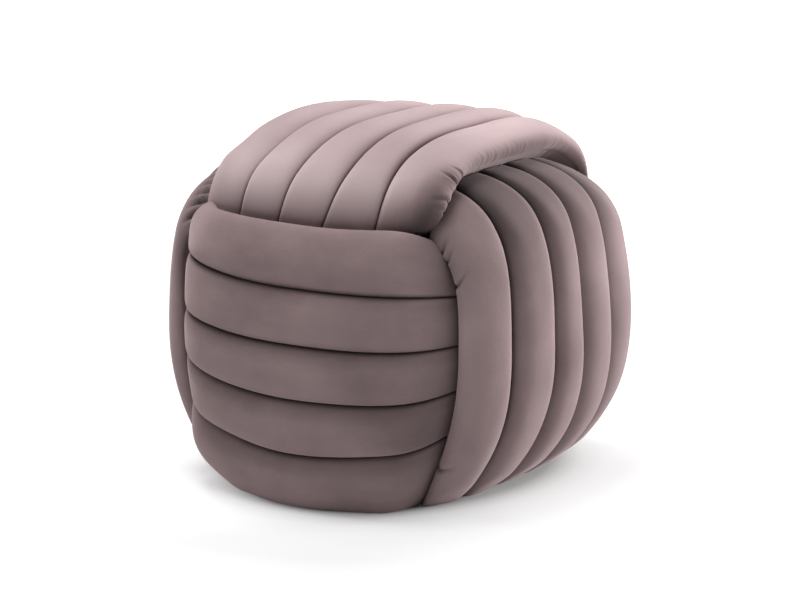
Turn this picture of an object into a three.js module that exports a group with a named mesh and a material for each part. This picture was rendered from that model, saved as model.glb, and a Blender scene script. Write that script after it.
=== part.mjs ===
// Braided velvet pouf: five channel-quilted panels that pass over and under each other at the
// edges of a rounded cube, filled to the middle, with a flat base cloth underneath.
// Millimetres, +Z up. The origin is on the floor, at the middle of the base. The front faces -Y.
import * as THREE from "three";
import { mergeVertices } from "three/addons/utils/BufferGeometryUtils.js";

// The filled body: a rounded cube, widest at its waist and cut flat by the floor
const WIDTH = 500; // over the crowns of the channels, along X and Y
const HEIGHT = 432;
const WAIST = 192; // height of the widest level
const PLAN_POWER = 2.9; // squareness of the outline seen from above, 2 for an ellipse
const CROWN_POWER = 2.8; // squareness of the upper half seen from the side
// Below the waist: how far the foot stands in from it, and how late it turns in
const FRONT_FOOT = { inset: 40, power: 3 };
const SIDE_FOOT = { inset: 90, power: 2.5 };

// Where the panels cross
const FRONT_TOP = 339; // the top edge of the front and back panels, which lies over the top panel
// The upright edges: degrees from +X at the waist, and the degrees gained at a distance above or below it
const CORNER_TURN = { waist: 41.3, bend: 4, distance: 150 };
// The top panel's long edges: degrees up from the waist at the middle, and how late they drop to the ends
const TOP_EDGE = { middle: 51, power: 4 };

// Channels and edges
const CREASE = 16; // depth of the sewn line between two channels
const ROLL = 24; // how far an outer channel rolls down, and a tucked end dips, where two panels cross
const TUCK_REACH = { front: 85, side: 70, top: 40 }; // lengths over which the tucked ends dip
const CHANNEL_STEPS = 6; // facets round one channel
const HALVINGS = 50; // steps in which a point of the surface is closed in on

// Seams of the front and back panels, from the floor up: the height at the panel's ends, and how far
// the seam sags between them
const FRONT_SEAMS = [
  { height: 0, sag: 0 },
  { height: 82, sag: 25 },
  { height: 143, sag: 18 },
  { height: 202, sag: 10 },
  { height: 263, sag: 4 },
  { height: FRONT_TOP, sag: 0 },
];
// Seams of the top panel and of the left and right panels, as shares of the panel's half width
const TOP_SEAMS = [-1, -0.53, -0.18, 0.18, 0.53, 1].map((share) => ({ share }));
const SIDE_SEAMS = [-1, -0.62, -0.19, 0.19, 0.62, 1].map((share) => ({ share }));

// The base cloth
const BASE_SHARE = 0.84; // its outline, as a share of the body's outline on the floor
const BASE_THICKNESS = 3;
const PANEL_GAP = 0.4; // each panel stands this far out, so that the panels don't touch

const HALF = WIDTH / 2 - PANEL_GAP;
const CROWN = HEIGHT - WAIST - PANEL_GAP;
const HUB = new THREE.Vector3(0, 0, WAIST);
const FOOT = new THREE.Vector3(0, 0, BASE_THICKNESS + PANEL_GAP);
const VELVET = { color: 0x8f797b, roughness: 0.95, metalness: 0 };
const BASE_WEAVE = { color: 0x1f1c1d, roughness: 0.9, metalness: 0 };

const power = (value, exponent) => Math.pow(Math.abs(value), exponent);

// How far the body reaches along X and along Y at a height.
function reach(z) {
  if (z >= WAIST) {
    const round = HALF * Math.pow(1 - power((z - WAIST) / CROWN, CROWN_POWER), 1 / CROWN_POWER);
    return { x: round, y: round };
  }
  const drop = (WAIST - z) / WAIST;
  return {
    x: HALF - SIDE_FOOT.inset * Math.pow(drop, SIDE_FOOT.power),
    y: HALF - FRONT_FOOT.inset * Math.pow(drop, FRONT_FOOT.power),
  };
}

// The front's distance from the XZ plane, and the right side's from the YZ plane.
const planCurve = (share) => Math.pow(1 - power(share, PLAN_POWER), 1 / PLAN_POWER);
const frontWall = (x, z) => reach(z).y * planCurve(x / reach(z).x);
const sideWall = (y, z) => reach(z).x * planCurve(y / reach(z).y);

// How far out a point of the floor is, as a share of the body's outline at the waist.
function planShare(x, y) {
  return Math.pow(power(x / HALF, PLAN_POWER) + power(y / HALF, PLAN_POWER), 1 / PLAN_POWER);
}

// Height of the body's upper surface over a point of the floor.
function roof(x, y) {
  return WAIST + CROWN * Math.pow(1 - power(planShare(x, y), CROWN_POWER), 1 / CROWN_POWER);
}

// The upright edge where the right panel lies over the front panel, at a height.
function uprightEdge(z) {
  const turn = THREE.MathUtils.degToRad(
    CORNER_TURN.waist + CORNER_TURN.bend * Math.pow((z - WAIST) / CORNER_TURN.distance, 2),
  );
  const { x, y } = reach(z);
  const filled = power(Math.cos(turn) / x, PLAN_POWER) + power(Math.sin(turn) / y, PLAN_POWER);
  const radius = Math.pow(filled, -1 / PLAN_POWER);
  return { x: radius * Math.cos(turn), y: radius * Math.sin(turn) };
}

const CORNER = uprightEdge(FRONT_TOP);

// The long edge of the top panel, which lies over the right panel, beside a point of the Y axis.
function topEdge(y) {
  const end = THREE.MathUtils.radToDeg(Math.atan2(FRONT_TOP - WAIST, CORNER.x));
  const lift = TOP_EDGE.middle - (TOP_EDGE.middle - end) * power(y / CORNER.y, TOP_EDGE.power);
  const slope = Math.tan(THREE.MathUtils.degToRad(lift));
  let inside = 0;
  let outside = HALF;
  for (let step = 0; step < HALVINGS; step++) {
    const x = (inside + outside) / 2;
    const filled = power(planShare(x, y), CROWN_POWER) + power((x * slope) / CROWN, CROWN_POWER);
    if (filled < 1) inside = x;
    else outside = x;
  }
  return { x: inside, z: WAIST + inside * slope };
}

// Stations across a row of channels, closer together towards each seam.
function stations(seams) {
  const list = [];
  for (let channel = 0; channel + 1 < seams.length; channel++) {
    for (let step = 0; step < CHANNEL_STEPS; step++) {
      const turn = (Math.PI * step) / CHANNEL_STEPS;
      const share = (1 - Math.cos(turn)) / 2;
      const station = { puff: Math.sin(turn) };
      for (const key of Object.keys(seams[channel]))
        station[key] = THREE.MathUtils.lerp(seams[channel][key], seams[channel + 1][key], share);
      list.push(station);
    }
  }
  list.push({ puff: 0, ...seams.at(-1) });
  return list;
}

// Depth of the channels below the body's surface at each station: semi-ellipses between the seams,
// with a depth of its own for the outer half of the first and the last channel.
function creases(list, firstDepth, lastDepth) {
  return list.map(({ puff }, index) => {
    const fromFirst = index < CHANNEL_STEPS / 2;
    const fromLast = list.length - 1 - index < CHANNEL_STEPS / 2;
    const depth = fromFirst ? firstDepth : fromLast ? lastDepth : CREASE;
    return depth * (1 - puff);
  });
}

// Depth of a channel's tucked end, at a distance from the edge that lies over it.
function tuck(distance, length) {
  return ROLL * Math.pow(Math.max(0, 1 - distance / length), 2);
}

// One panel: its quilted face, and walls that run in to the hub at the body's middle. Rows and columns
// give the depth of the face at each station, and crown gives the body's surface there. A panel that
// stands on the floor is flat underneath, with a recess for the base cloth.
function panelGeometry({ rows, columns, crown, onFloor }) {
  const below = onFloor ? 3 : 1;
  const lastRow = rows.length - 1;
  const lastColumn = columns.length - 1;
  const sheet = new THREE.PlaneGeometry(1, 1, lastColumn + 2, lastRow + below + 1);
  const place = sheet.getAttribute("position");

  function onFace(row, column) {
    const point = crown(rows[row], columns[column]);
    const depth = rows[row].depth + columns[column].depth;
    if (onFloor && row === 0) {
      const across = Math.hypot(point.x, point.y);
      return new THREE.Vector3(point.x, point.y, 0).multiplyScalar(1 - depth / across);
    }
    return point.lerp(HUB, depth / point.distanceTo(HUB));
  }

  function underneath(row, column) {
    if (row === -3) return FOOT;
    const rim = crown(rows[0], columns[column]).multiplyScalar(BASE_SHARE);
    return rim.setZ(row === -1 ? 0 : FOOT.z);
  }

  let vertex = 0;
  for (let row = lastRow + 1; row >= -below; row--) {
    for (let column = -1; column <= lastColumn + 1; column++) {
      const beside = column < 0 || column > lastColumn;
      let point;
      if (row > lastRow || (beside && row > -3) || (row < 0 && !onFloor)) point = HUB;
      else if (row < 0) point = underneath(row, column);
      else point = onFace(row, column);
      place.setXYZ(vertex, point.x, point.y, point.z);
      vertex += 1;
    }
  }
  return closed(sheet);
}

// The sheet with its coincident points merged and the triangles that they collapse left out.
function closed(sheet) {
  sheet.deleteAttribute("normal");
  sheet.deleteAttribute("uv");
  const merged = mergeVertices(sheet, 1e-3);
  const index = merged.getIndex();
  const kept = [];
  for (let first = 0; first < index.count; first += 3) {
    const corners = [0, 1, 2].map((offset) => index.getX(first + offset));
    if (new Set(corners).size === 3) kept.push(...corners);
  }
  merged.setIndex(kept);
  merged.computeVertexNormals();
  return merged;
}

const heights = stations(FRONT_SEAMS);
const acrossTop = stations(TOP_SEAMS);
const acrossSide = stations(SIDE_SEAMS);
const withDepth = (list, depths) => list.map((station, index) => ({ ...station, depth: depths[index] }));
function tuckedEnds(list, half, length) {
  return list.map(({ share }) => tuck((1 - Math.abs(share)) * half, length));
}

// The front panel: its channels run along X and are stacked up from the floor.
function frontCrown(row, column) {
  const z = row.height - row.sag * (1 - column.share * column.share);
  const x = column.share * uprightEdge(row.height).x;
  return new THREE.Vector3(x, -frontWall(x, z), z);
}
const frontGeometry = panelGeometry({
  rows: withDepth(heights, creases(heights, 0, ROLL)),
  columns: withDepth(acrossTop, tuckedEnds(acrossTop, uprightEdge(WAIST).x, TUCK_REACH.front)),
  crown: frontCrown,
  onFloor: true,
});

// The right panel: its channels stand upright, side by side along Y, and end under the top panel.
function sideCrown(row, column) {
  const z = (row.height * topEdge(column.share * CORNER.y).z) / FRONT_TOP;
  const y = column.share * uprightEdge(Math.min(z, FRONT_TOP)).y;
  return new THREE.Vector3(sideWall(y, z), y, z);
}
const sideGeometry = panelGeometry({
  rows: withDepth(heights, heights.map(({ height }) => tuck(FRONT_TOP - height, TUCK_REACH.side))),
  columns: withDepth(acrossSide, creases(acrossSide, ROLL, ROLL)),
  crown: sideCrown,
  onFloor: true,
});

// The top panel: its channels run along Y, side by side along X, and end under the front and back.
function topCrown(row, column) {
  const x = column.share * topEdge(row.share * CORNER.y).x;
  const y = row.share * frontWall(column.share * CORNER.x, FRONT_TOP);
  return new THREE.Vector3(x, y, roof(x, y));
}
const topGeometry = panelGeometry({
  rows: withDepth(acrossSide, tuckedEnds(acrossSide, frontWall(0, FRONT_TOP), TUCK_REACH.top)),
  columns: withDepth(acrossTop, creases(acrossTop, ROLL, ROLL)),
  crown: topCrown,
  onFloor: false,
});

// The base cloth: a flat sheet inside the ring on which the four upright panels stand.
function baseGeometry() {
  const front = acrossTop.map((column) => frontCrown(heights[0], column));
  const right = acrossSide.map((column) => sideCrown(heights[0], column));
  const half = [...front.slice(0, -1), ...right.slice(0, -1)];
  const clear = BASE_SHARE * (1 - PANEL_GAP / Math.hypot(CORNER.x, CORNER.y));
  const outline = half.map(({ x, y }) => new THREE.Vector2(x, y).multiplyScalar(clear));
  const round = [...outline, ...outline.map(({ x, y }) => new THREE.Vector2(-x, -y))];
  return new THREE.ExtrudeGeometry(new THREE.Shape(round), { depth: BASE_THICKNESS, bevelEnabled: false });
}

// One panel as a mesh, a little way out from the middle. The back and the left are the front and the
// right given a half turn.
function panel(name, geometry, outwards, turn = 0) {
  const mesh = new THREE.Mesh(geometry, new THREE.MeshStandardMaterial(VELVET));
  mesh.name = name;
  mesh.position.copy(outwards).multiplyScalar(PANEL_GAP);
  mesh.rotation.z = turn;
  return mesh;
}

const baseCloth = new THREE.Mesh(baseGeometry(), new THREE.MeshStandardMaterial(BASE_WEAVE));
baseCloth.name = "base_cloth";

const pouf = new THREE.Group();
pouf.add(
  panel("panel_top", topGeometry, new THREE.Vector3(0, 0, 1)),
  panel("panel_front", frontGeometry, new THREE.Vector3(0, -1, 0)),
  panel("panel_back", frontGeometry, new THREE.Vector3(0, 1, 0), Math.PI),
  panel("panel_right", sideGeometry, new THREE.Vector3(1, 0, 0)),
  panel("panel_left", sideGeometry, new THREE.Vector3(-1, 0, 0), Math.PI),
  baseCloth,
);

export default pouf;
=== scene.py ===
import math
from functools import lru_cache

import bmesh
import bpy
from mathutils import Matrix, Vector, noise


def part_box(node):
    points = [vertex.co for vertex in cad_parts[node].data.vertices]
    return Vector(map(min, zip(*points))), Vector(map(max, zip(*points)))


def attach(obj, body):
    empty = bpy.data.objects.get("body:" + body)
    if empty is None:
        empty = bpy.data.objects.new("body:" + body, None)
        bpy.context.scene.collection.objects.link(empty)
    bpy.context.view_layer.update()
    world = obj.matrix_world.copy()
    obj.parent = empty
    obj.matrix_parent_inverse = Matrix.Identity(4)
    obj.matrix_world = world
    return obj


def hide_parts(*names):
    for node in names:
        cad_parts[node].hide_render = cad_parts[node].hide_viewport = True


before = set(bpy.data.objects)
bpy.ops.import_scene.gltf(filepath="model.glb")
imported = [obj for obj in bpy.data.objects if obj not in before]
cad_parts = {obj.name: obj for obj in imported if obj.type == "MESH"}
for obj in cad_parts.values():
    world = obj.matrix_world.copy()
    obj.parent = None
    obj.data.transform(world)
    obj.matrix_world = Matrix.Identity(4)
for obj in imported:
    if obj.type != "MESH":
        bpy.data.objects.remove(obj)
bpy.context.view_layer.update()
print("frame loaded:", ", ".join(sorted(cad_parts)))

# The filled body, a rounded cube with its widest level at the waist
body = {
    "half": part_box("panel_right")[1].x - 0.0004,
    "top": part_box("panel_top")[1].z - 0.0030,
    "waist": 0.192,
    "planPower": 2.9,       # squareness seen from above
    "crownPower": 3.0,      # squareness of the upper half seen from the side
    # how far the front and the sides draw in at the floor, the front less in its middle
    "frontFoot": {"inset": 0.036, "power": 3.0, "full": 0.020, "width": 0.125},
    "sideFoot": {"right": 0.090, "left": 0.072, "power": 2.5},
    "frontTop": 0.336,      # top edge of the front and back panels
    # where the side panels' upright edges lie, in degrees seen from above, more at the top and the floor
    "cornerTurn": {"waist": 40.8, "top": 5.6, "foot": 6.8},
    # where the top panel's long edges lie, in degrees over the waist, turning late to the corners
    "topEdge": {"middle": 53.5, "power": 6.0},
    "plainPart": 0.4,       # share of an edge's half length that keeps its plain line
    "heart": 0.03,          # panels close to a point this far from the middle
    "gap": 0.0004,          # each panel stands this far out
}
hub = Vector((0, 0, body["waist"]))
crownRise = body["top"] - body["waist"]


@lru_cache(maxsize=None)
def reach(z, side):
    # half width towards one side and half depth, at a height
    if z >= body["waist"]:
        power = body["crownPower"]
        share = min(1.0, (z - body["waist"]) / crownRise)
        wide = body["half"] * (1 - share ** power) ** (1 / power)
        return wide, wide
    drop = (body["waist"] - z) / body["waist"]
    foot, front = body["sideFoot"], body["frontFoot"]
    return (body["half"] - foot[side] * drop ** foot["power"],
            body["half"] - front["inset"] * drop ** front["power"])


def planCurve(share):
    power = body["planPower"]
    return max(0.0, 1 - abs(share) ** power) ** (1 / power)


def frontWall(x, z, side):
    wide, deep = reach(z, side)
    foot = body["frontFoot"]
    drop = max(0.0, 1 - z / body["waist"])
    full = foot["full"] * drop ** foot["power"] * max(0.0, 1 - (x / foot["width"]) ** 2) ** 2
    return deep * planCurve(x / wide) + full


def sideWall(y, z, side):
    wide, deep = reach(z, side)
    return wide * planCurve(y / deep)


def planShare(x, y):
    power = body["planPower"]
    return (abs(x / body["half"]) ** power + abs(y / body["half"]) ** power) ** (1 / power)


def roof(x, y):
    power = body["crownPower"]
    return body["waist"] + crownRise * max(0.0, 1 - planShare(x, y) ** power) ** (1 / power)


@lru_cache(maxsize=None)
def uprightEdge(z, side):
    # where a side panel lies over the front panel: distance to the side, and to the front
    turn = body["cornerTurn"]
    if z > body["waist"]:
        bend = turn["top"] * ((z - body["waist"]) / (body["frontTop"] - body["waist"])) ** 4
    else:
        bend = turn["foot"] * (1 - z / body["waist"]) ** 2
    angle = math.radians(turn["waist"] + bend)
    wide, deep = reach(z, side)
    power = body["planPower"]
    filled = (math.cos(angle) / wide) ** power + (math.sin(angle) / deep) ** power
    radius = filled ** (-1 / power)
    return radius * math.cos(angle), radius * math.sin(angle)


cornerX, cornerY = uprightEdge(body["frontTop"], "right")


@lru_cache(maxsize=None)
def topEdge(y):
    # the top panel's long edge over a side panel: x and z beside a point of the Y axis
    middle, power = body["topEdge"]["middle"], body["topEdge"]["power"]
    end = math.degrees(math.atan2(body["frontTop"] - body["waist"], cornerX))
    slope = math.tan(math.radians(middle - (middle - end) * abs(y / cornerY) ** power))
    inside, outside = 0.0, body["half"]
    for halving in range(40):
        x = (inside + outside) / 2
        filled = planShare(x, y) ** body["crownPower"] + (x * slope / crownRise) ** body["crownPower"]
        inside, outside = (x, outside) if filled < 1 else (inside, x)
    return inside, body["waist"] + inside * slope


def nearEnd(share, middle, end):
    # from nothing in an edge's middle part, by way of one value, to another at its end
    along = max(0.0, (abs(share) - body["plainPart"]) / (1 - body["plainPart"]))
    toOne = 27 / 4      # brings the first part's highest point to 1
    return (middle * toOne * (1 - along) + end) * along * along


# Quilting that every panel shares
quilt = {
    "roll": 0.026,          # how far an outer channel rolls down where two panels cross
    "rollTurn": 124,        # degrees that it turns, past upright, so that it hangs over
    "seamShade": 0.85,       # painted shade: how much darker a sewn line is,
    "lineAt": (0.40, 0.35),     # from this share of the seam's depth, full after this much more
    "lipHighlightAt": (0.36, 0.12),      # a thin painted highlight as a lip: share of the seam's depth, and spread
    "softAt": (0.65, 0.22),     # a soft painted shadow: share of the half channel, and spread
    "foldShade": 0.8,        # painted shade: how much darker it is in a fold that is foldDepth deep
    "foldDepth": 0.005,
    "footRoll": 0.012,      # how far the bottom edge turns under at the floor
    "steps": 9,             # facets from a channel's crown to its seam, before smoothing
    "uneven": 0.0016,       # hand-made unevenness
    "unevenSize": 0.085,
    "seedStep": (7.3, 3.1, 5.7),    # where each panel's unevenness is taken from
    "levelBelow": 0.10,     # under this height depth is measured more and more level
}


def halfChannel(depth, turn, fullness):
    # from a channel's crown to its seam or rolled edge: share of the half width, and depth
    power = 2 / fullness
    last = math.radians(turn)
    steps = round(quilt["steps"] * max(1, turn / 90))

    def bent(value):
        return math.copysign(abs(value) ** power, value)

    return [(bent(math.sin(last * step / steps)) / bent(math.sin(last)),
             depth * (1 - bent(math.cos(last * step / steps))) / (1 - bent(math.cos(last))))
            for step in range(steps + 1)]


def bell(value, at, spread):
    return math.exp(-((value - at) / spread) ** 2)


def besideSeam(piece, share, depth):
    # painted light and shade towards a sewn line: a soft shadow, a thin highlight as a lip and the dark
    # line itself, shade in the crease
    soft, middle, lip = piece["seamTone"][share > 0.5]
    near, deep = abs(share - 0.5) * 2, depth / piece["crease"]
    tone = 1 - soft * near ** 3 - middle * bell(near, *quilt["softAt"])
    tone += lip * bell(deep, *quilt["lipHighlightAt"])
    start, length = quilt["lineAt"]
    line = min(1.0, max(0.0, (deep - start) / length))
    return tone * (1 - quilt["seamShade"] * line * line)


def acrossStations(piece, first, last):
    # rows of a panel's grid over all its channels: first and last are the outer edges' depth and turn
    stations = []
    inner = (piece["crease"], 90)
    channels = len(piece["seams"]) - 1
    for channel in range(channels):
        lower = halfChannel(*(first if channel == 0 else inner), piece["fullness"])
        upper = halfChannel(*(last if channel == channels - 1 else inner), piece["fullness"])
        half = [(0.5 - share / 2, depth) for share, depth in reversed(lower[1:])]
        half += [(0.5 + share / 2, depth) for share, depth in upper]
        for share, depth in half if channel == 0 else half[1:]:
            outer = (channel == 0 and share < 0.5) or (channel == channels - 1 and share > 0.5)
            tone = 1.0 if outer else besideSeam(piece, share, depth)
            stations.append({
                "channel": channel, "share": share, "depth": depth, "tone": tone, "sewn": False})
        stations[-1]["sewn"] = True
    stations[0]["sewn"] = True
    return stations


def between(seams, station, key):
    low, high = seams[station["channel"]][key], seams[station["channel"] + 1][key]
    return low + (high - low) * station["share"]


def tuck(distance, end):
    return end["depth"] * max(0.0, 1 - distance / end["reach"]) ** 2


def crushed(distance, end):
    # painted shade, darker where a channel goes under its neighbour
    return end["dark"] * max(0.0, 1 - distance / end["darkReach"]) ** 1.5


def evenly(low, high, count):
    return [low + (high - low) * step / count for step in range(count + 1)]


def shade(at, size, change):
    # a soft patch of painted light or shade, at a flat place (along, across)
    return {"at": at, "size": size, "change": change}


def paintedPatchTone(piece, along, across):
    tone = 1.0
    for patch in piece["shades"]:
        a = (along - patch["at"][0]) / patch["size"][0]
        b = (across - patch["at"][1]) / patch["size"][1]
        tone += patch["change"] * math.exp(-a * a - b * b)
    return tone


def inwards(point, depth):
    # a place under a point of the body's surface, towards the middle, and level near the floor
    way = hub - point
    way.z *= min(1.0, point.z / quilt["levelBelow"])
    return point + way.normalized() * depth


def uneven(point, seed):
    spot = point / quilt["unevenSize"] + Vector([seed * step for step in quilt["seedStep"]])
    return quilt["uneven"] * noise.noise(spot)


def quiltedSheet(piece, rows, columns, crown):
    # the quilted face of one panel, as an open grid with its flat place as UV
    lastRow, lastColumn = len(rows) - 1, len(columns) - 1
    bm = bmesh.new()
    bmesh.ops.create_grid(bm, x_segments=lastColumn, y_segments=lastRow, size=0.5)
    flat = bm.loops.layers.uv.new("flat")
    tone = bm.verts.layers.float.new("tone")
    foot = bm.verts.layers.int.new("foot")
    sewn = []
    for vertex in bm.verts:
        column = round((vertex.co.x + 0.5) * lastColumn)
        row = round((vertex.co.y + 0.5) * lastRow)
        station, place = rows[row], columns[column]
        border = row in (0, lastRow) or column in (0, lastColumn)
        point = crown(station, place)
        vertex[foot] = piece["onFloor"] and 0 in (station["flat"], place["flat"]) and border
        depth = math.hypot(station["depth"], place["depth"])
        if not border:
            depth += uneven(point, piece["seed"])
        vertex.co = inwards(point, depth)
        # painted shade where a channel tucks under its neighbour and beside the seams, times the panel's
        # tone and its patches of painted light and shade
        dark = (1 - place["crushed"] * station.get("dark", 1.0)) * station["tone"]
        vertex[tone] = piece["tone"] * dark * paintedPatchTone(piece, place["flat"], station["flat"])
        if border or station["sewn"]:
            sewn.append(vertex.index)
        for loop in vertex.link_loops:
            loop[flat].uv = (place["flat"], station["flat"])
    bm.normal_update()
    if sum((face.normal for face in bm.faces), Vector()).dot(piece["outwards"]) < 0:
        bmesh.ops.reverse_faces(bm, faces=bm.faces)
    mesh = bpy.data.meshes.new(piece["name"])
    bm.to_mesh(mesh)
    bm.free()
    sheet = bpy.data.objects.new(piece["name"], mesh)
    bpy.context.scene.collection.objects.link(sheet)
    sheet.vertex_groups.new(name="sewn").add(sewn, 1.0, "REPLACE")
    return sheet


# Filling the channels by cloth simulation: sewn lines hold, the velvet between them swells up to a cap
filling = {"pressure": 4.0, "frames": 16, "cap": 0.003, "tension": 8, "bending": 0.4}


def fillChannels(sheet):
    start = [vertex.co.copy() for vertex in sheet.data.vertices]
    cloth = sheet.modifiers.new("filling", "CLOTH")
    settings = cloth.settings
    settings.vertex_group_mass = "sewn"
    settings.use_pressure = True
    settings.uniform_pressure_force = filling["pressure"]
    settings.tension_stiffness = settings.compression_stiffness = filling["tension"]
    settings.bending_stiffness = filling["bending"]
    settings.effector_weights.gravity = 0
    cloth.collision_settings.use_collision = False
    scene = bpy.context.scene
    cloth.point_cache.frame_start, cloth.point_cache.frame_end = 1, filling["frames"]
    for step in range(1, filling["frames"] + 1):
        scene.frame_set(step)
    filled = sheet.evaluated_get(bpy.context.evaluated_depsgraph_get())
    moved = [vertex.co.copy() for vertex in filled.data.vertices]
    sheet.modifiers.remove(cloth)
    scene.frame_set(1)
    farthest = 0.0
    for vertex, old, new in zip(sheet.data.vertices, start, moved):
        move = new - old
        farthest = max(farthest, move.length)
        eased = filling["cap"] * math.tanh(move.length / filling["cap"])
        vertex.co = old + move.normalized() * eased
    print(f"{sheet.name} filled, the cloth moved up to {farthest * 1000:.1f} mm")


def smoothed(sheet):
    # one subdivision, made part of the mesh
    finer = sheet.modifiers.new("finer", "SUBSURF")
    finer.levels = finer.render_levels = 1
    dense = bpy.data.meshes.new_from_object(sheet.evaluated_get(bpy.context.evaluated_depsgraph_get()))
    rough = sheet.data
    sheet.modifiers.clear()
    sheet.data = dense
    bpy.data.meshes.remove(rough)
    dense.name = sheet.name


# Creases placed one by one
creases = {
    "swellReach": 2.5,      # where a swell stops, in its own sizes
    "pullBefore": 0.6,      # how far a pull goes back past its start, as a share of its length
    "pullReach": 2.8,       # where it stops at its sides, in its own widths
    "ridge": 0.8,           # how high the ridges at its sides are
    "fade": 1.5,            # how soon pulls and puckers die out
    "ruffleEnds": 0.02,     # length over which puckers begin and end
    "ruffleLong": 0.8,      # how much a pucker varies along itself
    "patchSize": 0.23,      # patches of stronger and weaker puckers
    "patchLeast": 0.6,
    "fineSize": 1.9,        # finer puckers between them
    "fineShare": 0.5,
    "floor": 0.0004,        # what lies lower than this stands on the floor
}


def swell(at, size, rise):
    # a broad soft rise or hollow, at a flat place (along, across)
    return {"at": at, "size": size, "rise": rise}


def pull(start, end, width, depth):
    # a soft trough with a ridge at each side, deepest at its start on a seam
    return {"start": start, "end": end, "width": width, "depth": depth}


def ruffle(edge, side, span, reach, size, depth):
    # fine uneven puckers along an eased edge, square to it
    return {"edge": edge, "side": side, "span": span, "reach": reach, "size": size, "depth": depth}


def swellAt(along, across, piece):
    height = 0.0
    for bulge in piece["swells"]:
        a = (along - bulge["at"][0]) / bulge["size"][0]
        b = (across - bulge["at"][1]) / bulge["size"][1]
        if max(abs(a), abs(b)) < creases["swellReach"]:
            height += bulge["rise"] * math.exp(-a * a - b * b)
    return height


def foldAt(along, across, piece):
    height = 0.0
    for fold in piece["pulls"]:
        wayA, wayB = fold["end"][0] - fold["start"][0], fold["end"][1] - fold["start"][1]
        length = math.hypot(wayA, wayB)
        offA, offB = along - fold["start"][0], across - fold["start"][1]
        share = (offA * wayA + offB * wayB) / length ** 2
        aside = (offA * wayB - offB * wayA) / length / fold["width"]
        if -creases["pullBefore"] < share < 1 and abs(aside) < creases["pullReach"]:
            fade = (1 - abs(share)) ** creases["fade"]
            trough = math.exp(-aside * aside) * (1 - creases["ridge"] * aside * aside)
            height -= fold["depth"] * fade * trough
    for edge in piece["ruffles"]:
        off = (across - edge["edge"]) * edge["side"] / edge["reach"]
        ends = min(along - edge["span"][0], edge["span"][1] - along) / creases["ruffleEnds"]
        if off < 1 and ends > 0:
            fade = (1 - abs(off)) ** creases["fade"] * min(1.0, ends)
            spot = Vector((along / edge["size"], off * creases["ruffleLong"], piece["seed"]))
            patchy = creases["patchLeast"] + noise.noise(spot * creases["patchSize"])
            fine = creases["fineShare"] * noise.noise(spot * creases["fineSize"])
            height -= edge["depth"] * fade * patchy * (noise.noise(spot) + fine)
    return height


def addRelief(sheet, piece):
    mesh = sheet.data
    flat = mesh.uv_layers["flat"].data
    places = [None] * len(mesh.vertices)
    for loop in mesh.loops:
        places[loop.vertex_index] = flat[loop.index].uv
    normals = [vertex.normal.copy() for vertex in mesh.vertices]
    tones = mesh.attributes["tone"].data
    for vertex, place, normal, tone in zip(mesh.vertices, places, normals, tones):
        fold = foldAt(place[0], place[1], piece)
        # painted shade in the folds
        tone.value *= 1 - quilt["foldShade"] * min(1.0, max(0.0, -fold / quilt["foldDepth"]))
        onFloor = vertex.co.z < creases["floor"]
        vertex.co += normal * (fold + swellAt(place[0], place[1], piece))
        vertex.co.z = 0.0 if onFloor and piece["onFloor"] else max(0.0, vertex.co.z)


# Where the panels' feet stop underneath, just outside the base cloth
baseRim = {"margin": 1.02, "lip": 0.0034}


def underRim(co):
    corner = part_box("base_cloth")[1]
    power = body["planPower"]
    share = (abs(co.x / corner.x) ** power + abs(co.y / corner.y) ** power) ** (1 / power)
    return Vector((co.x, co.y, 0)) * (baseRim["margin"] / share)


def closePanel(sheet, piece):
    # turns the sheet's edges in to a point behind it, so that the panel is one closed filled piece
    bm = bmesh.new()
    bm.from_mesh(sheet.data)
    if piece["onFloor"]:
        foot = bm.verts.layers.int["foot"]
        edges = [edge for edge in bm.edges if edge.is_boundary and all(end[foot] for end in edge.verts)]
        for place in (underRim, lambda co: Vector((co.x, co.y, baseRim["lip"]))):
            made = bmesh.ops.extrude_edge_only(bm, edges=edges)["geom"]
            points = {part for part in made if isinstance(part, bmesh.types.BMVert)}
            for point in points:
                point.co = place(point.co)
            made = [part for part in made if isinstance(part, bmesh.types.BMEdge)]
            edges = [edge for edge in made if points.issuperset(edge.verts)]
    rest = [edge for edge in bm.edges if edge.is_boundary]
    made = bmesh.ops.extrude_edge_only(bm, edges=rest)["geom"]
    points = [part for part in made if isinstance(part, bmesh.types.BMVert)]
    bmesh.ops.pointmerge(bm, verts=points, merge_co=hub + piece["outwards"] * body["heart"])
    bmesh.ops.dissolve_degenerate(bm, dist=1e-7, edges=bm.edges)
    bmesh.ops.recalc_face_normals(bm, faces=bm.faces)
    bmesh.ops.translate(bm, verts=bm.verts, vec=piece["outwards"] * body["gap"])
    for face in bm.faces:
        face.smooth = True
    openEdges = sum(not edge.is_manifold for edge in bm.edges)
    bm.to_mesh(sheet.data)
    bm.free()
    return openEdges


def makePanel(piece, rows, columns, crown):
    # one panel from its grid: quilted, filled, smoothed, pulled in and closed
    sheet = quiltedSheet(piece, rows, columns, crown)
    fillChannels(sheet)
    smoothed(sheet)
    addRelief(sheet, piece)
    openEdges = closePanel(sheet, piece)
    if piece["halfTurn"]:
        sheet.data.transform(Matrix.Rotation(math.pi, 4, "Z"))
    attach(sheet, "root")
    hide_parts(piece["node"])
    print(f"{piece['name']} made, {len(sheet.data.polygons)} faces, {openEdges} open edges")
    return sheet


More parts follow.
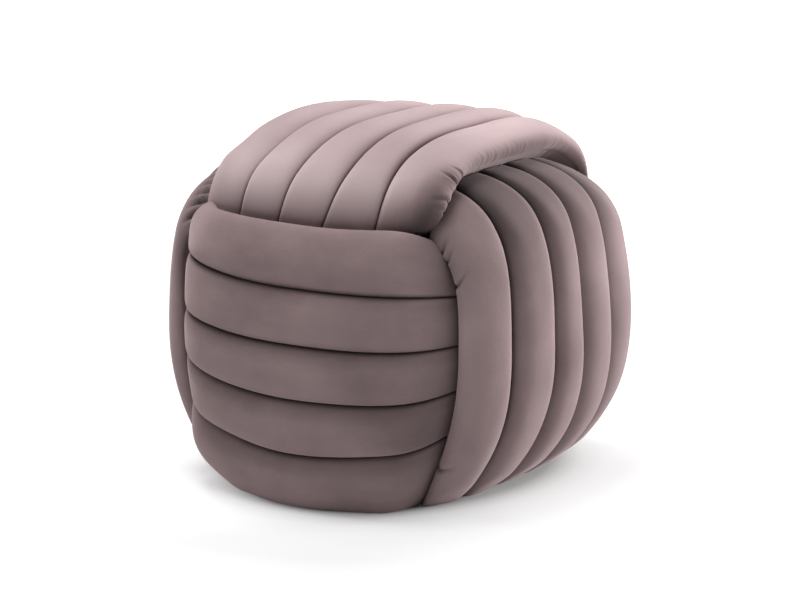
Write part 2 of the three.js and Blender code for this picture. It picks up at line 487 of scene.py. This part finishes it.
# Front and back panels: channels along X, stacked up from the floor.
# A seam's height is at the panel's ends, and sag is how far its middle hangs. Left and right lift its
# ends, from start on, a share of the half width.
frontPanel = {
    "name": "velvetFront", "node": "panel_front", "seed": 1,
    "fill": 0.9, "onFloor": True, "halfTurn": False,
    "outwards": Vector((0, -1, 0)),
    "sides": ("left", "right"),
    "crease": 0.020,        # depth of the sewn lines between channels
    "fullness": 2.35,       # squareness of a channel's section, 2 for an ellipse
    "seams": [
        {"height": 0.0, "sag": 0.0, "left": 0.018, "right": 0.0, "start": 0.6},
        {"height": 0.082, "sag": 0.0225, "left": 0.020, "right": 0.0, "start": 0.0},
        {"height": 0.142, "sag": 0.017, "left": 0.022, "right": 0.0, "start": 0.0},
        {"height": 0.202, "sag": 0.010, "left": 0.012, "right": 0.0, "start": 0.0},
        {"height": 0.265, "sag": 0.003, "left": 0.020, "right": 0.0, "start": 0.0},
        {"height": body["frontTop"], "sag": 0.005, "left": 0.006, "right": -0.006, "start": 0.65},
    ],
    # where the ends tuck under the side panels, and their painted shade
    "ends": ({"reach": 0.105, "depth": 0.031, "darkReach": 0.030, "dark": 0.3},
             {"reach": 0.085, "depth": 0.029, "darkReach": 0.050, "dark": 0.5}),
    "tone": 1.0,
    "seamTone": ((0.16, 0.0, 0.0), (0.0, 0.14, 0.0)),       # painted shadow beside the seams, below and above a channel's middle
    # patches of painted light and shade
    "shades": [
        shade((0.120, 0.170), (0.070, 0.200), -0.14),
        shade((0.175, 0.100), (0.035, 0.060), -0.30),
        shade((0.0, 0.335), (0.250, 0.020), -0.12),
    ],
    "columns": 104,
    "swells": [
        swell((-0.185, 0.040), (0.050, 0.035), 0.019),
        swell((0.160, 0.0), (0.040, 0.050), 0.006),
        swell((-0.203, 0.312), (0.026, 0.030), 0.008),
    ],
    "pulls": [],
    "ruffles": [],
}
backPanel = {
    **frontPanel, "name": "velvetBack", "node": "panel_back", "seed": 2, "halfTurn": True,
    "sides": ("right", "left"),
    # its ends' tuck and their painted shade
    "ends": ({"reach": 0.080, "depth": 0.029, "darkReach": 0.035, "dark": 0.4},
             {"reach": 0.080, "depth": 0.029, "darkReach": 0.035, "dark": 0.4}),
    "swells": [],
}


def makeFront(piece):
    seams = piece["seams"]
    rows = acrossStations(piece, (quilt["footRoll"], 90), (quilt["roll"], quilt["rollTurn"]))
    for station in rows:
        station["flat"] = between(seams, station, "height")
    half = uprightEdge(body["waist"], "right")[0]
    columns = []
    for share in evenly(-1, 1, piece["columns"]):
        end = piece["ends"][share > 0]
        left = (1 - abs(share)) * half
        columns.append({
            "at": share, "flat": share * half, "depth": tuck(left, end), "crushed": crushed(left, end)})

    def crown(station, place):
        share = place["at"]
        height = between(seams, station, "height")
        z = height - between(seams, station, "sag") * (1 - share * share)
        lift = "right" if share > 0 else "left"
        start = between(seams, station, "start")
        z += between(seams, station, lift) * max(0.0, (abs(share) - start) / (1 - start)) ** 2
        side = piece["sides"][share > 0]
        x = share * uprightEdge(height, side)[0]
        return Vector((x, -frontWall(x, z, side), z))

    return makePanel(piece, rows, columns, crown)


# Right and left panels: upright channels side by side along Y.
# A seam's place is a share of the half depth, at the floor, half way up and at the top.
rightPanel = {
    "name": "velvetRight", "node": "panel_right", "seed": 3,
    "fill": 0.9, "onFloor": True, "halfTurn": False,
    "outwards": Vector((1, 0, 0)),
    "side": "right",
    "crease": 0.025,
    "fullness": 2.35,
    "seams": [
        {"foot": -1.0, "middle": -1.0, "top": -1.0},
        {"foot": -0.62, "middle": -0.66, "top": -0.65},
        {"foot": -0.150, "middle": -0.22, "top": -0.28},
        {"foot": 0.30, "middle": 0.11, "top": 0.065},
        {"foot": 0.65, "middle": 0.505, "top": 0.43},
        {"foot": 1.0, "middle": 1.0, "top": 1.0},
    ],
    # the tops tuck under the top panel, with painted shade there
    "topEnd": {"reach": 0.080, "depth": 0.036, "darkReach": 0.130, "dark": 1.0},
    "topDark": (0.40, 0.95, 1.0, 0.95, 0.85),    # share of that painted shade for each channel
    "tone": 1.0,
    "seamTone": ((0.32, 0.0, 0.0), (0.0, 0.0, 0.20)),       # painted shadow before a channel's middle and a painted highlight after it
    # patches of painted light and shade
    "shades": [
        shade((0.030, 0.0), (0.060, 0.3), -0.22),
        shade((0.245, -0.165), (0.045, 0.025), 0.12),
        shade((0.220, 0.065), (0.070, 0.030), 0.12),
        shade((0.300, -0.112), (0.040, 0.018), -0.35),
        shade((0.310, -0.032), (0.035, 0.015), -0.30),
    ],
    "footReach": 0.030,         # height over which the foot turns under
    "peak": (0.010, 0.004),     # how much further up its outer channels go, front and back,
    "rise": 0.0,                # and the ones between
    "columns": 98,
    "swells": [swell((0.270, 0.140), (0.060, 0.050), -0.006)],
    "pulls": [
        pull((0.318, -0.188), (0.312, -0.172), 0.0032, 0.0036),
        pull((0.306, -0.188), (0.303, -0.174), 0.0028, 0.0026),
        pull((0.276, -0.188), (0.272, -0.172), 0.0034, 0.0036),
        pull((0.050, -0.188), (0.054, -0.170), 0.0040, 0.0034),
    ],
    "ruffles": [],
}
leftPanel = {
    **rightPanel, "name": "velvetLeft", "node": "panel_left", "seed": 4, "halfTurn": True,
    "side": "left",
    "seams": [
        {"foot": -1.0, "middle": -1.0, "top": -1.0},
        {"foot": -0.62, "middle": -0.63, "top": -0.63},
        {"foot": -0.19, "middle": -0.20, "top": -0.20},
        {"foot": 0.19, "middle": 0.19, "top": 0.18},
        {"foot": 0.62, "middle": 0.61, "top": 0.60},
        {"foot": 1.0, "middle": 1.0, "top": 1.0},
    ],
    "topDark": (0.40, 0.95, 1.0, 0.95, 0.45),
    "peak": (0.004, 0.006),     # back and front, because it is made half turned
    "rise": 0.012,
    # patches of painted light and shade
    "shades": [shade((0.050, 0.170), (0.060, 0.050), -0.20)],
    "swells": [swell((0.260, 0.150), (0.100, 0.090), -0.004)],
    "pulls": [
        pull((0.315, 0.140), (0.292, 0.129), 0.0026, 0.0070),
        pull((0.314, 0.150), (0.290, 0.139), 0.0026, 0.0080),
        pull((0.312, 0.160), (0.288, 0.150), 0.0026, 0.0085),
        pull((0.310, 0.169), (0.285, 0.161), 0.0026, 0.0085),
        pull((0.307, 0.178), (0.284, 0.174), 0.0025, 0.0070),
    ],
}


def makeSide(piece):
    seams, side = piece["seams"], piece["side"]
    edge = (quilt["roll"], quilt["rollTurn"])
    rows = acrossStations(piece, edge, edge)
    half = uprightEdge(body["waist"], side)[1]
    for station in rows:
        station["flat"] = between(seams, station, "middle") * half
        station["dark"] = piece["topDark"][station["channel"]]
    columns = []
    for share in evenly(0, 1, piece["columns"]):
        height = share * body["frontTop"]
        foot = quilt["footRoll"] * max(0.0, 1 - height / piece["footReach"]) ** 2
        left = body["frontTop"] - height
        depth = tuck(left, piece["topEnd"]) + foot
        columns.append({
            "at": share, "flat": height, "depth": depth, "crushed": crushed(left, piece["topEnd"])})

    def crown(station, place):
        share = place["at"]
        foot, middle, top = (between(seams, station, key) for key in ("foot", "middle", "top"))
        low, high = (1 - share) * (1 - 2 * share), share * (2 * share - 1)
        beside = foot * low + middle * 4 * share * (1 - share) + top * high
        rise = piece["rise"] * (1 - beside ** 4) + nearEnd(beside, 0, piece["peak"][beside > 0])
        z = share * (topEdge(beside * cornerY)[1] + rise)
        y = beside * uprightEdge(min(z, body["frontTop"]), side)[1]
        return Vector((sideWall(y, z, side), y, z))

    return makePanel(piece, rows, columns, crown)


# Top panel: channels along Y, side by side along X.
# A seam's place is a share of the half width, at the front, in the middle and at the back.
# Skew takes it further right behind the front edge.
topPanel = {
    "name": "velvetTop", "node": "panel_top", "seed": 5,
    "fill": 0.9, "onFloor": False, "halfTurn": False,
    "outwards": Vector((0, 0, 1)),
    "crease": 0.018,
    "fullness": 2.8,
    "seams": [
        {"front": -1.0, "middle": -1.0, "back": -1.0, "skew": 0.0},
        {"front": -0.595, "middle": -0.576, "back": -0.55, "skew": 0.105},
        {"front": -0.225, "middle": -0.203, "back": -0.21, "skew": 0.105},
        {"front": 0.155, "middle": 0.176, "back": 0.19, "skew": 0.145},
        {"front": 0.60, "middle": 0.576, "back": 0.55, "skew": 0.045},
        {"front": 1.0, "middle": 1.0, "back": 1.0, "skew": 0.0},
    ],
    "skewSpan": 1.6,        # share from the back edge where skew is whole
    # the ends tuck under the front and back panels, with painted shade there
    "end": {"reach": 0.050, "depth": 0.030, "darkReach": 0.030, "dark": 0.45},
    "pinch": (((0.100, -0.02), (-0.05, 0.05)),      # how much narrower it is before and at its corners:
              ((0.0, 0.0), (0.03, 0.0))),           # front left and right, back left and right
    "narrow": (0.080, 0.0),     # how much narrower between them, left and right
    # lighter than the other panels: painted light on the top
    "tone": 1.28,
    "seamTone": ((0.0, 0.0, 0.10), (0.12, 0.0, 0.0)),       # a painted highlight left of a channel's middle and painted shadow right of it
    # patches of painted light and shade, among them painted shadow under the rim and a painted highlight
    # on its lip
    "shades": [
        shade((-0.215, 0.0), (0.055, 0.250), 0.24),
        shade((-0.210, -0.100), (0.040, 0.050), 0.10),
        shade((-0.165, 0.010), (0.030, 0.030), -0.07),
        shade((-0.155, 0.060), (0.050, 0.030), -0.10),
        shade((0.060, 0.115), (0.050, 0.030), 0.14),
        shade((0.130, 0.150), (0.080, 0.030), -0.02),
        shade((0.030, 0.168), (0.140, 0.014), -0.55),
        shade((-0.020, 0.110), (0.070, 0.030), 0.10),
        shade((-0.170, 0.140), (0.050, 0.035), -0.10),
        shade((-0.200, 0.149), (0.034, 0.017), -0.50),
        shade((-0.166, 0.155), (0.018, 0.010), -0.35),
        shade((-0.190, 0.167), (0.035, 0.004), 0.40),
        shade((-0.190, -0.140), (0.030, 0.030), -0.07),
        shade((-0.228, 0.142), (0.022, 0.034), -0.55),
    ],
    "columns": 172,
    "swells": [
        swell((-0.020, -0.125), (0.080, 0.030), 0.005),
        swell((0.060, -0.040), (0.100, 0.045), -0.004),
    ],
    "pulls": [
        pull((-0.213, 0.168), (-0.208, 0.150), 0.0026, 0.0030),
        pull((-0.198, 0.168), (-0.203, 0.142), 0.0032, 0.0050),
        pull((-0.186, 0.168), (-0.181, 0.154), 0.0024, 0.0030),
        pull((-0.169, 0.168), (-0.163, 0.138), 0.0034, 0.0055),
        pull((-0.161, 0.168), (-0.160, 0.152), 0.0022, 0.0028),
        pull((-0.147, 0.168), (-0.150, 0.144), 0.0030, 0.0040),
    ],
    "ruffles": [
        ruffle(0.166, -1, (-0.140, 0.215), 0.016, 0.0070, 0.0011),
        ruffle(0.166, -1, (-0.215, -0.120), 0.014, 0.0070, 0.0018),
    ],
}


def makeTop(piece):
    seams = piece["seams"]
    edge = (quilt["roll"], quilt["rollTurn"])
    rows = acrossStations(piece, edge, edge)
    half = topEdge(0.0)[0]
    deep = frontWall(0, body["frontTop"], "right")
    for station in rows:
        station["flat"] = between(seams, station, "middle") * half
    columns = []
    for share in evenly(-1, 1, piece["columns"]):
        left = (1 - abs(share)) * deep
        end = piece["end"]
        columns.append({
            "at": share, "flat": share * deep, "depth": tuck(left, end), "crushed": crushed(left, end)})

    def crown(station, place):
        share = place["at"]
        front, middle, back = (between(seams, station, key) for key in ("front", "middle", "back"))
        beside = (front * share * (share - 1) / 2 + middle * (1 - share * share)
                  + back * share * (share + 1) / 2)
        beside += between(seams, station, "skew") * (1 - share ** 8) * (1 - share) / piece["skewSpan"]
        pinch = nearEnd(share, *piece["pinch"][share > 0][beside > 0])
        pinch += piece["narrow"][beside > 0] * (1 - share ** 4)
        x = beside * topEdge(share * cornerY)[0] * (1 - pinch * abs(beside) ** 3)
        y = share * frontWall(beside * cornerX, body["frontTop"], "right")
        return Vector((x, y, roof(x, y)))

    return makePanel(piece, rows, columns, crown)


panels = [makeTop(topPanel), makeFront(frontPanel), makeFront(backPanel),
          makeSide(rightPanel), makeSide(leftPanel)]


class Wire:
    # a socket of a material's nodes, so that shader sums are written as Python
    def __init__(self, tree, socket):
        self.tree, self.socket = tree, socket

    def node(self, kind, settings=None, inputs=None, output=0):
        made = self.tree.nodes.new(kind)
        for key, value in (settings or {}).items():
            if key == "stops":
                ramp = made.color_ramp.elements
                while len(ramp) < len(value):
                    ramp.new(0.5)
                for stop, (position, colour) in zip(ramp, value):
                    stop.position, stop.color = position, colour
            else:
                setattr(made, key, value)
        for key, value in (inputs or {}).items():
            if isinstance(value, Wire):
                self.tree.links.new(value.socket, made.inputs[key])
            else:
                made.inputs[key].default_value = value
        return Wire(self.tree, made.outputs[output])

    def stretched(self, low, high):
        # 0 at the low value and 1 at the high one
        return self.node("ShaderNodeMapRange", {}, {"Value": self, "From Min": low, "From Max": high})

    def sum(self, operation, first, second):
        return self.node("ShaderNodeMath", {"operation": operation}, {0: first, 1: second})

    def __add__(self, other):
        return self.sum("ADD", self, other)

    def __sub__(self, other):
        return self.sum("SUBTRACT", self, other)

    def __rsub__(self, other):
        return self.sum("SUBTRACT", other, self)

    def __mul__(self, other):
        return self.sum("MULTIPLY", self, other)

    def __truediv__(self, other):
        return self.sum("DIVIDE", self, other)

    def __rtruediv__(self, other):
        return self.sum("DIVIDE", other, self)

    __radd__, __rmul__ = __add__, __mul__


def newMaterial(name):
    material = bpy.data.materials.new(name)
    material.use_nodes = True
    tree = material.node_tree
    shader = tree.nodes["Principled BSDF"]
    return material, shader, Wire(tree, None)


velvet = {
    "deep": (0.181, 0.129, 0.130, 1),       # pile seen end on
    "light": (0.286, 0.208, 0.210, 1),      # pile brushed the other way
    "paintedLitColour": (0.600, 0.482, 0.489, 1),       # painted light: what the lit top and lighter patches mix towards
    "sheen": 0.3,
    "sheenRoughness": 0.45,
    "sheenTint": (1.0, 0.78, 0.80, 1),
    "roughness": (0.84, 0.08),      # least, and how much more where the pile is brushed
    "specular": 0.12,
    "cloudSize": 9.0,       # brushed clouds, per metre
    "streakSize": 34.0,     # streaks along the channels
    "streakStretch": (0.45, 1.0, 1.0),
    "weaveSize": 260.0,     # the cloth that shows through
    "pileSize": 750.0,      # single tufts
    "nap": (0.62, 0.28, 0.10),      # shares of clouds, streaks and weave,
    "napRange": (0.33, 0.67),       # and which values are brushed fully one way and the other
    "tuftRange": (0.3, 0.7),
    "tuftShare": 0.15,
    "bumpShares": (0.6, 0.4),       # of tufts and weave
    "bump": {"Strength": 0.22, "Distance": 0.0006},
}


def velvetMaterial():
    material, shader, wire = newMaterial("dustyMauveVelvet")
    place = wire.node("ShaderNodeTexCoord", output="Object")
    flat = wire.node("ShaderNodeUVMap", {"uv_map": "flat"})
    lengthwise = wire.node("ShaderNodeMapping", {}, {"Vector": flat, "Scale": velvet["streakStretch"]})
    clouds = wire.node("ShaderNodeTexNoise", {}, {
        "Vector": place, "Scale": velvet["cloudSize"], "Detail": 3.0, "Roughness": 0.55})
    streaks = wire.node("ShaderNodeTexNoise", {}, {
        "Vector": lengthwise, "Scale": velvet["streakSize"], "Detail": 4.0, "Roughness": 0.6})
    pile = wire.node("ShaderNodeTexNoise", {}, {
        "Vector": place, "Scale": velvet["pileSize"], "Detail": 2.0, "Roughness": 0.6})
    weave = wire.node("ShaderNodeTexNoise", {}, {
        "Vector": place, "Scale": velvet["weaveSize"], "Detail": 3.0, "Roughness": 0.65})
    cloudShare, streakShare, weaveShare = velvet["nap"]
    nap = clouds * cloudShare + streaks * streakShare + weave * weaveShare
    spread = nap.stretched(*velvet["napRange"])
    tufts = pile.stretched(*velvet["tuftRange"])
    brushed = spread * (1 - velvet["tuftShare"]) + tufts * velvet["tuftShare"]
    colour = wire.node("ShaderNodeMix", {"data_type": "RGBA"}, {
        "Factor": brushed, "A": velvet["deep"], "B": velvet["light"]}, output="Result")
    tuftBump, weaveBump = velvet["bumpShares"]
    height = pile * tuftBump + weave * weaveBump
    bump = wire.node("ShaderNodeBump", {}, {**velvet["bump"], "Height": height})
    # the tone attribute is painted light and shade: under 1 it darkens the colour, over 1 it mixes it
    # towards the painted lit colour
    tone = wire.node("ShaderNodeAttribute", {"attribute_name": "tone"}, output="Fac")
    shadeShare = wire.node("ShaderNodeMath", {"operation": "MINIMUM"}, {0: tone, 1: 1.0})
    litShare = tone.stretched(1.0, 2.0)
    colour = wire.node("ShaderNodeVectorMath", {"operation": "SCALE"}, {0: colour, "Scale": shadeShare})
    colour = wire.node("ShaderNodeMix", {"data_type": "RGBA"}, {
        "Factor": litShare, "A": colour, "B": velvet["paintedLitColour"]}, output="Result")
    smoothest, rougher = velvet["roughness"]
    rough = spread * rougher + smoothest
    tree = material.node_tree
    tree.links.new(colour.socket, shader.inputs["Base Color"])
    tree.links.new(rough.socket, shader.inputs["Roughness"])
    tree.links.new(bump.socket, shader.inputs["Normal"])
    shader.inputs["Sheen Weight"].default_value = velvet["sheen"]
    shader.inputs["Sheen Roughness"].default_value = velvet["sheenRoughness"]
    shader.inputs["Sheen Tint"].default_value = velvet["sheenTint"]
    shader.inputs["Specular IOR Level"].default_value = velvet["specular"]
    return material


dustyMauve = velvetMaterial()
for panel in panels:
    panel.data.materials.clear()
    panel.data.materials.append(dustyMauve)
print("velvet made")


# Base cloth: a plain dark weave on the flat sheet underneath
baseWeave = {
    "dark": (0.010, 0.009, 0.010, 1),
    "light": (0.030, 0.027, 0.029, 1),
    "threads": 45.0,        # scale of the threads
    "loose": 1.5,           # how unevenly they lie
    "roughness": 0.92,
    "bump": {"Strength": 0.4, "Distance": 0.0004},
}


def baseMaterial():
    material, shader, wire = newMaterial("darkBaseWeave")
    place = wire.node("ShaderNodeTexCoord", output="Object")
    warp = wire.node("ShaderNodeTexWave", {"bands_direction": "X"}, {
        "Vector": place, "Scale": baseWeave["threads"], "Distortion": baseWeave["loose"]})
    weft = wire.node("ShaderNodeTexWave", {"bands_direction": "Y"}, {
        "Vector": place, "Scale": baseWeave["threads"], "Distortion": baseWeave["loose"]})
    threads = warp * 0.5 + weft * 0.5
    colour = wire.node("ShaderNodeMix", {"data_type": "RGBA"}, {
        "Factor": threads, "A": baseWeave["dark"], "B": baseWeave["light"]}, output="Result")
    bump = wire.node("ShaderNodeBump", {}, {**baseWeave["bump"], "Height": threads})
    tree = material.node_tree
    tree.links.new(colour.socket, shader.inputs["Base Color"])
    tree.links.new(bump.socket, shader.inputs["Normal"])
    shader.inputs["Roughness"].default_value = baseWeave["roughness"]
    return material


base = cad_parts["base_cloth"]
base.data.materials.clear()
base.data.materials.append(baseMaterial())
print("base cloth dressed")


# Camera, at the photograph's angle
view = {"azimuth": 33.37, "elevation": 12.42, "distance": 4.442, "right": -0.0003, "up": 0.0087,
        "focalPixels": 3748.6, "imageWidth": 800}


def placeCamera():
    turn, tilt = math.radians(view["azimuth"]), math.radians(view["elevation"])
    back = Vector((math.sin(turn) * math.cos(tilt), -math.cos(turn) * math.cos(tilt), math.sin(tilt)))
    right = Vector((math.cos(turn), math.sin(turn), 0))
    up = back.cross(right)
    lens = bpy.data.cameras.new("studioCamera")
    lens.sensor_width = 36
    lens.lens = view["focalPixels"] / view["imageWidth"] * lens.sensor_width
    lens.clip_end = 60
    camera = bpy.data.objects.new("studioCamera", lens)
    bpy.context.scene.collection.objects.link(camera)
    spot = hub + back * view["distance"] + right * view["right"] + up * view["up"]
    camera.matrix_world = Matrix.Translation(spot) @ Matrix((right, up, back)).transposed().to_4x4()
    bpy.context.scene.camera = camera


placeCamera()
print("camera placed")


# Studio: a pale floor that glows, painted light like a lit cove further out and lowered to a painted
# shadow around and in front of the pouf, a wide panel overhead and two lamps
studio = {
    "floorColour": (0.56, 0.56, 0.56, 1),
    "floorRoughness": 0.8,
    "floorSpecular": 0.2,
    "floorDrop": 0.0003,            # so that it doesn't meet the base
    "glow": {"far": 0.65, "from": 0.5, "to": 2.6},          # what is added further out
    "foot": (0.165, 0.215),         # half width and half depth of what stands on the floor
    "beside": [(0.0, 0.10), (0.02, 0.32), (0.04, 0.46), (0.07, 0.515), (0.11, 0.46), (0.15, 0.375),
               (0.20, 0.31), (0.30, 0.30), (0.45, 0.41)],   # glow by the distance from there, low close by as a painted shadow
    "dip": {"at": (0.12, -0.31, 0.0), "depth": 0.27, "reach": 0.28},    # painted shadow: less glow in front of the pouf
    "floorSize": 14.0,
    "sky": 0.18,
    "lamps": [
        {"name": "overhead", "at": (0.0, 1.0, 3.6), "towards": (0, 1.0, 0),
         "size": 14.0, "power": 330, "spread": 110},
        {"name": "key", "at": (-0.4, -0.1, 2.7), "towards": (0, 0, 0.3),
         "size": 1.4, "power": 13, "spread": 80},
        {"name": "right", "at": (2.2, 2.8, 0.8), "towards": (0, 0, 0.2),
         "size": 1.3, "power": 58, "spread": 120},
    ],
}


def layFloor():
    bm = bmesh.new()
    bmesh.ops.create_grid(bm, x_segments=1, y_segments=1, size=studio["floorSize"])
    bmesh.ops.translate(bm, verts=bm.verts, vec=(0, 0, -studio["floorDrop"]))
    mesh = bpy.data.meshes.new("studioFloor")
    bm.to_mesh(mesh)
    bm.free()
    floor = bpy.data.objects.new("studioFloor", mesh)
    bpy.context.scene.collection.objects.link(floor)
    material, shader, wire = newMaterial("paleFloor")
    shader.inputs["Base Color"].default_value = studio["floorColour"]
    shader.inputs["Roughness"].default_value = studio["floorRoughness"]
    shader.inputs["Specular IOR Level"].default_value = studio["floorSpecular"]
    glow = studio["glow"]
    place = wire.node("ShaderNodeTexCoord", output="Object")
    away = wire.node("ShaderNodeVectorMath", {"operation": "LENGTH"}, {0: place}, output="Value")
    cove = wire.node("ShaderNodeMapRange", {"interpolation_type": "SMOOTHSTEP"}, {
        "Value": away, "From Min": glow["from"], "From Max": glow["to"],
        "To Min": 0.0, "To Max": glow["far"]})
    wide, deep = studio["foot"]
    shrunk = wire.node("ShaderNodeVectorMath", {"operation": "MULTIPLY"}, {
        0: place, 1: (1 / wide, 1 / deep, 0)})
    rounded = wire.node("ShaderNodeVectorMath", {"operation": "LENGTH"}, {0: shrunk}, output="Value")
    outside = away - away / rounded
    # painted shadow on the floor: the glow is lowest at the foot and in front of the pouf
    last = studio["beside"][-1][0]
    stops = [(distance / last, (value, value, value, 1)) for distance, value in studio["beside"]]
    beside = wire.node("ShaderNodeValToRGB", {"stops": stops}, {"Fac": outside * (1 / last)})
    dip = studio["dip"]
    offset = wire.node("ShaderNodeVectorMath", {"operation": "SUBTRACT"}, {0: place, 1: dip["at"]})
    near = wire.node("ShaderNodeVectorMath", {"operation": "LENGTH"}, {0: offset}, output="Value")
    frontShadowDepth = wire.node("ShaderNodeMapRange", {"interpolation_type": "SMOOTHSTEP"}, {
        "Value": near, "From Min": 0.0, "From Max": dip["reach"],
        "To Min": dip["depth"], "To Max": 0.0})
    glowing = cove + beside - frontShadowDepth
    material.node_tree.links.new(glowing.socket, shader.inputs["Emission Color"])
    shader.inputs["Emission Strength"].default_value = 1.0
    mesh.materials.append(material)


def hangLamps():
    for lamp in studio["lamps"]:
        light = bpy.data.lights.new(lamp["name"], "AREA")
        light.shape = "SQUARE"
        light.size = lamp["size"]
        light.energy = lamp["power"]
        light.spread = math.radians(lamp["spread"])
        holder = bpy.data.objects.new(lamp["name"], light)
        bpy.context.scene.collection.objects.link(holder)
        holder.location = lamp["at"]
        aim = Vector(lamp["towards"]) - Vector(lamp["at"])
        holder.rotation_euler = aim.to_track_quat("-Z", "Y").to_euler()
    world = bpy.data.worlds.new("studioSky")
    world.use_nodes = True
    background = world.node_tree.nodes["Background"]
    background.inputs["Color"].default_value = (1, 1, 1, 1)
    background.inputs["Strength"].default_value = studio["sky"]
    bpy.context.scene.world = world
    bpy.context.scene.view_settings.view_transform = "Standard"


layFloor()
hangLamps()
print("studio lit")
